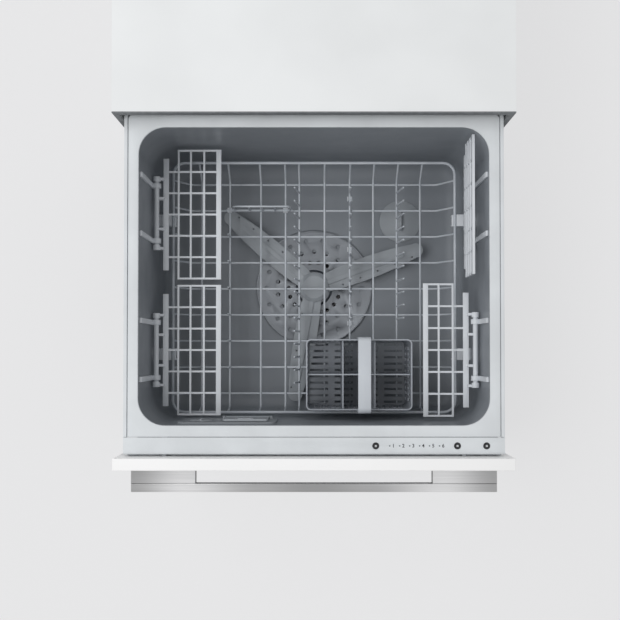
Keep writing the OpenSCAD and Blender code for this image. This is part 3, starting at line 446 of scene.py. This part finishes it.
panel_lacquer = sprayed_lacquer("panel_lacquer")
panel_ease = 0.0011
panel_low, panel_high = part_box("door_panel")
board_shape = bmesh.new()
bmesh.ops.create_cube(board_shape, size=1)
for corner in board_shape.verts:
    corner.co = Vector(panel_high[k] if corner.co[k] > 0 else panel_low[k] for k in range(3))
bmesh.ops.bevel(board_shape, geom=board_shape.edges[:], offset=panel_ease, segments=4,
                profile=0.5, affect="EDGES")
panel_board = closed_piece("panel_board", board_shape, panel_lacquer)
panel_board.data.shade_smooth()
panel_board.data.set_sharp_from_angle(angle=rounded_angle)
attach(panel_board, "drawer")
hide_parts("door_panel")
eased("front_screws", "drawer", plate_zinc, width=0.0003, steps=1)


# ---------- handle ----------
# A flat stainless bar on two end blocks, long-brushed from end to end and bolted through the
# panel. The hand goes in behind the bar.

# grey tones of painted reflection bands along the bar, from its middle to either end
painted_reflection_tones = [(0.04, 166), (0.3, 182), (0.71, 232), (1.0, 176)]


def brushed_with_painted_reflections(name, reach):
    """Steel brushed along X, with painted reflection bands whose tones run from X = 0 out to
    reach on both sides.
    """
    finish, tree, shader = finish_named(name, srgb(190, 190, 190), 0.34, 1.0)
    made, link = tree.nodes.new, tree.links.new
    place = made("ShaderNodeTexCoord")
    axes = made("ShaderNodeSeparateXYZ")
    from_middle = made("ShaderNodeMath")
    from_middle.operation = "ABSOLUTE"
    along_bar = made("ShaderNodeMapRange")
    along_bar.inputs["From Max"].default_value = reach
    # a ramp of painted reflection bands, lighter and darker along the bar
    reflection_ramp = made("ShaderNodeValToRGB")
    reflection_ramp.color_ramp.interpolation = "EASE"
    for share, tone in painted_reflection_tones[1:-1]:
        reflection_ramp.color_ramp.elements.new(share)
    for element, (share, tone) in zip(reflection_ramp.color_ramp.elements, painted_reflection_tones):
        element.position = share
        element.color = srgb(tone, tone, tone)
    # the painted reflection bands, broken up a little by the brushing grain
    grained_reflections = made("ShaderNodeVectorMath")
    grained_reflections.operation = "SCALE"
    brush = grain(tree, scale=900, detail=3, stretch=(0.008, 1, 1))
    link(place.outputs["Object"], axes.inputs["Vector"])
    link(axes.outputs["X"], from_middle.inputs[0])
    link(from_middle.outputs[0], along_bar.inputs["Value"])
    link(along_bar.outputs["Result"], reflection_ramp.inputs["Fac"])
    link(reflection_ramp.outputs["Color"], grained_reflections.inputs[0])
    link(stretched(tree, brush, 0.93, 1.05), grained_reflections.inputs["Scale"])
    link(grained_reflections.outputs["Vector"], shader.inputs["Base Color"])
    vary_roughness(tree, shader, brush, 0.28, 0.4)
    relief(tree, shader, brush, depth=0.00002, strength=0.25)
    shader.inputs["Anisotropic"].default_value = 0.6
    return finish


handle_steel = brushed_with_painted_reflections("handle_steel", reach=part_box("handle_bar")[1].x)
handle_bar = eased("handle_bar", "drawer", handle_steel, width=0.0006, steps=3)
handle_blocks = eased("handle_blocks", "drawer", handle_steel, width=0.0006,
                      steps=3)


def towards_gap(piece, face):
    """How straight a face of the bar or of a block looks into the finger gap, at most 1."""
    if piece == handle_bar:
        return face.normal.y
    return -face.normal.x * math.copysign(1, face.center.x)


# the faces round the finger gap get a darker steel: painted shade, for inner faces that lie in
# shadow
painted_shade_steel = satin_steel("painted_shade_steel", srgb(84, 85, 87))
for piece in (handle_bar, handle_blocks):
    piece.data.materials.append(painted_shade_steel)
    for face in piece.data.polygons:
        if towards_gap(piece, face) > 0.95:
            face.material_index = 1


# ---------- rack arms and cup racks ----------
# Moulded arms hang on the tub's side walls and end in eyes. Each cup rack is a moulded grid
# on a tube that turns in two of them.

rack_plastic = moulded("rack_plastic", srgb(214, 218, 223), roughness=0.34, depth=0.00005)
eased("rack_arms", "drawer", rack_plastic, width=0.0006)
for place in ("left_rear", "left_front", "right_front", "right_rear"):
    eased(f"cup_rack_{place}", f"cup_rack_{place}", rack_plastic, width=0.0005)


# ---------- base rack and its fold-down rows ----------
# Steel wire bent and welded into a basket that stands on lugs of the tub, then coated with
# pale grey nylon. Two rows of tines turn in clips on it.

def coated_wire(name):
    """Nylon melted on over wire: glossy, and a little uneven to the touch."""
    finish, tree, shader = finish_named(name, srgb(198, 203, 210), 0.28)
    tint(tree, shader, grain(tree, scale=30, detail=3), srgb(190, 196, 203), srgb(206, 211, 217))
    relief(tree, shader, grain(tree, scale=500), depth=0.0002, strength=0.25)
    return finish


nylon_coat = coated_wire("nylon_coat")
wire_facets = 10


def wire_tree():
    """Wires from edges: a line, its bends rounded, swept with a circle and domed at its ends."""
    tree = bpy.data.node_groups.new("coated_wire", "GeometryNodeTree")
    face = tree.interface
    face.new_socket("Geometry", in_out="INPUT", socket_type="NodeSocketGeometry")
    face.new_socket("Thickness", in_out="INPUT", socket_type="NodeSocketFloat")
    face.new_socket("Bend", in_out="INPUT", socket_type="NodeSocketFloat")
    face.new_socket("Coat", in_out="INPUT", socket_type="NodeSocketMaterial")
    face.new_socket("Geometry", in_out="OUTPUT", socket_type="NodeSocketGeometry")
    made, link = tree.nodes.new, tree.links.new
    given = made("NodeGroupInput")
    line = made("GeometryNodeMeshToCurve")
    half = made("ShaderNodeMath")
    half.operation = "MULTIPLY"
    half.inputs[1].default_value = 0.5
    bend = made("GeometryNodeFilletCurve")
    bend.mode = "POLY"
    bend.inputs["Count"].default_value = 5
    bend.inputs["Limit Radius"].default_value = True
    round_wire = made("GeometryNodeCurvePrimitiveCircle")
    round_wire.inputs["Resolution"].default_value = wire_facets
    swept = made("GeometryNodeCurveToMesh")
    swept.inputs["Fill Caps"].default_value = True
    ends = made("GeometryNodeCurveEndpointSelection")
    dome = made("GeometryNodeMeshUVSphere")
    dome.inputs["Segments"].default_value = wire_facets
    dome.inputs["Rings"].default_value = 6
    domes = made("GeometryNodeInstanceOnPoints")
    both = made("GeometryNodeJoinGeometry")
    single = made("GeometryNodeRealizeInstances")
    smooth = made("GeometryNodeSetShadeSmooth")
    coat = made("GeometryNodeSetMaterial")
    result = made("NodeGroupOutput")
    link(given.outputs["Geometry"], line.inputs["Mesh"])
    link(given.outputs["Thickness"], half.inputs[0])
    link(line.outputs["Curve"], bend.inputs["Curve"])
    link(given.outputs["Bend"], bend.inputs["Radius"])
    link(half.outputs[0], round_wire.inputs["Radius"])
    link(bend.outputs["Curve"], swept.inputs["Curve"])
    link(round_wire.outputs["Curve"], swept.inputs["Profile Curve"])
    link(half.outputs[0], dome.inputs["Radius"])
    link(line.outputs["Curve"], domes.inputs["Points"])
    link(ends.outputs["Selection"], domes.inputs["Selection"])
    link(dome.outputs["Mesh"], domes.inputs["Instance"])
    link(swept.outputs["Mesh"], both.inputs["Geometry"])
    link(domes.outputs["Instances"], both.inputs["Geometry"])
    link(both.outputs["Geometry"], single.inputs["Geometry"])
    link(single.outputs["Geometry"], smooth.inputs["Geometry"])
    link(smooth.outputs["Geometry"], coat.inputs["Geometry"])
    link(given.outputs["Coat"], coat.inputs["Material"])
    link(coat.outputs["Geometry"], result.inputs["Geometry"])
    return tree


wires_from_lines = wire_tree()


def bent_wires(name, lines, thickness, bend):
    """A plain mesh of coated wires, one for each list of points."""
    mesh = bpy.data.meshes.new(name)
    corners, edges = [], []
    for line in lines:
        first = len(corners)
        corners += line
        edges += [(first + i, first + i + 1) for i in range(len(line) - 1)]
    mesh.from_pydata(corners, edges, [])
    piece = placed(name, mesh)
    making = piece.modifiers.new("wires", "NODES")
    making.node_group = wires_from_lines
    socket = {s.name: s.identifier for s in wires_from_lines.interface.items_tree
              if s.in_out == "INPUT"}
    making[socket["Thickness"]] = thickness
    making[socket["Bend"]] = bend
    making[socket["Coat"]] = nylon_coat
    as_mesh(piece)
    if not piece.data.materials:
        piece.data.materials.append(nylon_coat)
    return piece


def joined(name, pieces):
    """Several meshes as one."""
    shape = bmesh.new()
    for piece in pieces:
        shape.from_mesh(piece.data)
    mesh = bpy.data.meshes.new(name)
    shape.to_mesh(mesh)
    shape.free()
    for material in pieces[0].data.materials:
        mesh.materials.append(material)
    mesh.shade_smooth()
    whole = placed(name, mesh)
    for piece in pieces:
        bpy.data.objects.remove(piece)
    return whole


chassis_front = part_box("cabinet_wrap")[0].y
wire_thick = 0.0034
weld_depth = 0.0004
rail_thick = 0.005
rail_corner = 0.02
rail_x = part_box("base_rack")[1].x - 0.0024
rail_z = 0.184
rear_rail = chassis_front - 0.033
front_rail = chassis_front - 0.458
rear_bend = 0.026
front_bend = 0.006
grid_z = 0.139
long_z = grid_z + wire_thick - weld_depth
first_cross = chassis_front - 0.063
cross_pitch = 0.0456
cross_ys = [first_cross - cross_pitch * i for i in range(9)]
long_xs = [-0.196, -0.147, -0.093, -0.050, -0.026, 0.018, 0.062, 0.103, 0.144, 0.185]
left_row_x, right_row_x, fold_row_x = long_xs[4], long_xs[8], long_xs[6]
stud_x, bowl_clip_x = long_xs[1], long_xs[3]
first_tine = chassis_front - 0.078
tine_pitch = 0.022
tine_ys = [first_tine - tine_pitch * i for i in range(16)]
fold_row_ys = tine_ys[:11]
tine_height = 0.060
tine_lean = 0.007
stud_height = 0.038


def tine_row(x, lean, height, ys):
    """Fixed tines on the long wire at x, whose tips lean sideways."""
    return [[(x, y, long_z), (x + lean, y, long_z + height)] for y in ys]


rail_line = [(-rail_x, rear_rail - rail_corner * 2, rail_z), (-rail_x, rear_rail, rail_z),
             (rail_x, rear_rail, rail_z), (rail_x, front_rail, rail_z),
             (-rail_x, front_rail, rail_z), (-rail_x, rear_rail - rail_corner * 2, rail_z)]
grid_lines = []
for y in cross_ys:
    grid_lines.append([(-rail_x, y, rail_z), (-rail_x + rear_bend, y, grid_z),
                       (rail_x - rear_bend, y, grid_z), (rail_x, y, rail_z)])
for x in long_xs:
    grid_lines.append([(x, rear_rail, rail_z), (x, rear_rail - rear_bend, long_z),
                       (x, front_rail + front_bend, long_z), (x, front_rail, rail_z)])
grid_lines += tine_row(left_row_x, -tine_lean, tine_height, tine_ys)
grid_lines += tine_row(right_row_x, tine_lean, tine_height, fold_row_ys)
grid_lines += tine_row(stud_x, 0, stud_height, cross_ys[2:8])
rack_wires = bent_wires("rack_wires", grid_lines, wire_thick, bend=0.008)
rack_rail = bent_wires("rack_rail", [rail_line], rail_thick, bend=rail_corner)
base_rack = joined("base_rack_wires", [rack_wires, rack_rail])
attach(base_rack, "drawer")
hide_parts("base_rack", "rack_tines")

# the rods of the folding rows lie in their clips a little above the long wires
fold_z = long_z + wire_thick / 2 + 0.003
clip_places = [(fold_row_x, first_tine - tine_pitch * n, "y") for n in (0.5, 4.5, 10.35)]
clip_places += [(x, cross_ys[1], "x") for x in (stud_x, bowl_clip_x)]
clip_inner = 0.0022
clip_outer = 0.0045
clip_half = 0.004
clip_steps = 18
clip_start = -235
clip_sweep = 290


def fold_clip(shape, x, y, along):
    """A moulded C clip round a fold-down row's rod, open towards the top."""
    sections = []
    for step in range(clip_steps + 1):
        angle = math.radians(clip_start + clip_sweep * step / clip_steps)
        section = []
        for reach, side in ((clip_inner, -clip_half), (clip_outer, -clip_half),
                            (clip_outer, clip_half), (clip_inner, clip_half)):
            across, up = reach * math.cos(angle), reach * math.sin(angle)
            point = (across, side, up) if along == "y" else (side, across, up)
            section.append(shape.verts.new(Vector((x, y, fold_z)) + Vector(point)))
        sections.append(section)
    skin_between(shape, sections)
    shape.faces.new(sections[0])
    shape.faces.new(sections[-1])


clip_shape = bmesh.new()
for x, y, along in clip_places:
    fold_clip(clip_shape, x, y, along)
fold_clips = closed_piece("fold_clip_set", clip_shape, rack_plastic)
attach(fold_clips, "drawer")
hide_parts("fold_clips")

fold_top = fold_z + tine_height - 0.006
plate_lines = [[(fold_row_x, chassis_front - 0.072, fold_z),
                (fold_row_x, chassis_front - 0.312, fold_z)]]
for y in fold_row_ys:
    plate_lines.append([(fold_row_x, y, fold_z), (fold_row_x, y, fold_top)])
plate_tines = bent_wires("plate_tine_wires", plate_lines, wire_thick, bend=0.004)
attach(plate_tines, "plate_tines")
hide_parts("plate_tines")

bowl_y = cross_ys[1]
bowl_top = fold_z + 0.046
bowl_left, bowl_right = -0.138, -0.042
bowl_lines = [[(-0.152, bowl_y, fold_z), (-0.038, bowl_y, fold_z)],
              [(bowl_left, bowl_y, fold_z), (bowl_left, bowl_y, bowl_top),
               (bowl_right, bowl_y, bowl_top), (bowl_right, bowl_y, fold_z)]]
for x in (-0.112, -0.090, -0.068):
    bowl_lines.append([(x, bowl_y, fold_z), (x, bowl_y, bowl_top)])
bowl_tines = bent_wires("bowl_tine_wires", bowl_lines, wire_thick, bend=0.008)
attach(bowl_tines, "bowl_tines")
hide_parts("bowl_tines")


# ---------- cutlery basket ----------
# A moulded basket with six cells and open walls that stands in the base rack, and its wide
# handle, clipped on front and back.

basket_grey = moulded("basket_grey", srgb(166, 171, 178), roughness=0.38)
handle_grey = moulded("handle_grey", srgb(198, 203, 209), roughness=0.36)
eased("cutlery_basket", "basket", basket_grey, steps=1)
eased("basket_dividers", "basket", basket_grey, width=0.0003, steps=1)
eased("basket_handle", "basket", handle_grey, width=0.0012, steps=3)


# ---------- floor, light and camera ----------
# A plain pale floor under the chassis, soft studio light from above and the front, and a
# camera almost straight above the drawer's middle.

background = srgb(232, 232, 233)
floor_reach = 12
floor_mesh = bpy.data.meshes.new("studio_floor")
floor_mesh.from_pydata([(-floor_reach, -floor_reach, 0), (floor_reach, -floor_reach, 0),
                        (floor_reach, floor_reach, 0), (-floor_reach, floor_reach, 0)],
                       [], [(0, 1, 2, 3)])
studio_floor = placed("studio_floor", floor_mesh)
floor_paint, floor_tree, floor_shader = finish_named("floor_paint", background, 0.9)
floor_shader.inputs["Specular IOR Level"].default_value = 0.0
floor_mesh.materials.append(floor_paint)
studio_floor.location.z = -0.0005


def camera_sees(tree, lit, shown, share):
    """The camera, and metal's reflections, see a share of what is shown over what is lit."""
    ray = tree.nodes.new("ShaderNodeLightPath")
    seen = tree.nodes.new("ShaderNodeMath")
    seen.operation = "MAXIMUM"
    part = tree.nodes.new("ShaderNodeMath")
    part.operation = "MULTIPLY"
    part.inputs[1].default_value = share
    both = tree.nodes.new("ShaderNodeMixShader")
    tree.links.new(ray.outputs["Is Camera Ray"], seen.inputs[0])
    tree.links.new(ray.outputs["Is Glossy Ray"], seen.inputs[1])
    tree.links.new(seen.outputs[0], part.inputs[0])
    tree.links.new(part.outputs[0], both.inputs["Fac"])
    tree.links.new(lit, both.inputs[1])
    tree.links.new(shown, both.inputs[2])
    return both.outputs["Shader"]


# the rest of the floor is lit, and keeps the object's shadow
plain_share = 0.8
plain_floor = floor_tree.nodes.new("ShaderNodeEmission")
plain_floor.inputs["Color"].default_value = background
floor_tree.links.new(
    camera_sees(floor_tree, floor_shader.outputs["BSDF"], plain_floor.outputs["Emission"],
                plain_share),
    floor_tree.nodes["Material Output"].inputs["Surface"])

world = bpy.data.worlds.new("studio")
bpy.context.scene.world = world
world.use_nodes = True
sky = world.node_tree.nodes["Background"]
sky.inputs["Color"].default_value = (1, 1, 1, 1)
sky.inputs["Strength"].default_value = 0.58
plain_sky = world.node_tree.nodes.new("ShaderNodeBackground")
plain_sky.inputs["Color"].default_value = background
plain_sky.inputs["Strength"].default_value = 1.0
world.node_tree.links.new(
    camera_sees(world.node_tree, sky.outputs["Background"], plain_sky.outputs["Background"], 1.0),
    world.node_tree.nodes["World Output"].inputs["Surface"])

drawer_middle = (0, -0.45, 0.3)


def soft_light(name, size, power, place, mirrored):
    """A round studio lamp over the drawer; one that isn't mirrored leaves no spot in metal."""
    lamp = bpy.data.lights.new(name, "AREA")
    lamp.shape = "DISK"
    lamp.size = size
    lamp.energy = power
    holder = placed(name, lamp)
    holder.location = place
    holder.visible_glossy = mirrored
    aim = Vector(drawer_middle) - Vector(place)
    holder.rotation_euler = aim.to_track_quat("-Z", "Y").to_euler()


soft_light("key_light", size=2.6, power=76, place=(-2.1, -0.9, 4.4), mirrored=False)
soft_light("sheen_light", size=1.2, power=9, place=(-1.3, 0.7, 3.0), mirrored=True)

rim_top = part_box("tub_rim")[1].z
camera_side = 0.0023
camera_run = 0.355
camera_rise = 1.478
camera_tilt = math.radians(1.2)
sensor_width = 36
focal_pixels = 980.0
frame_pixels = 620
shift_pixels = (-5.5, 21)
view = bpy.data.cameras.new("camera")
view.sensor_width = sensor_width
view.lens = sensor_width * focal_pixels / frame_pixels
view.shift_x = shift_pixels[0] / frame_pixels
view.shift_y = shift_pixels[1] / frame_pixels
camera = placed("camera", view)
camera.location = (camera_side, chassis_front - camera_run, rim_top + camera_rise)
camera.rotation_euler = (camera_tilt, 0, 0)
bpy.context.scene.camera = camera
bpy.context.scene.view_settings.view_transform = "Standard"
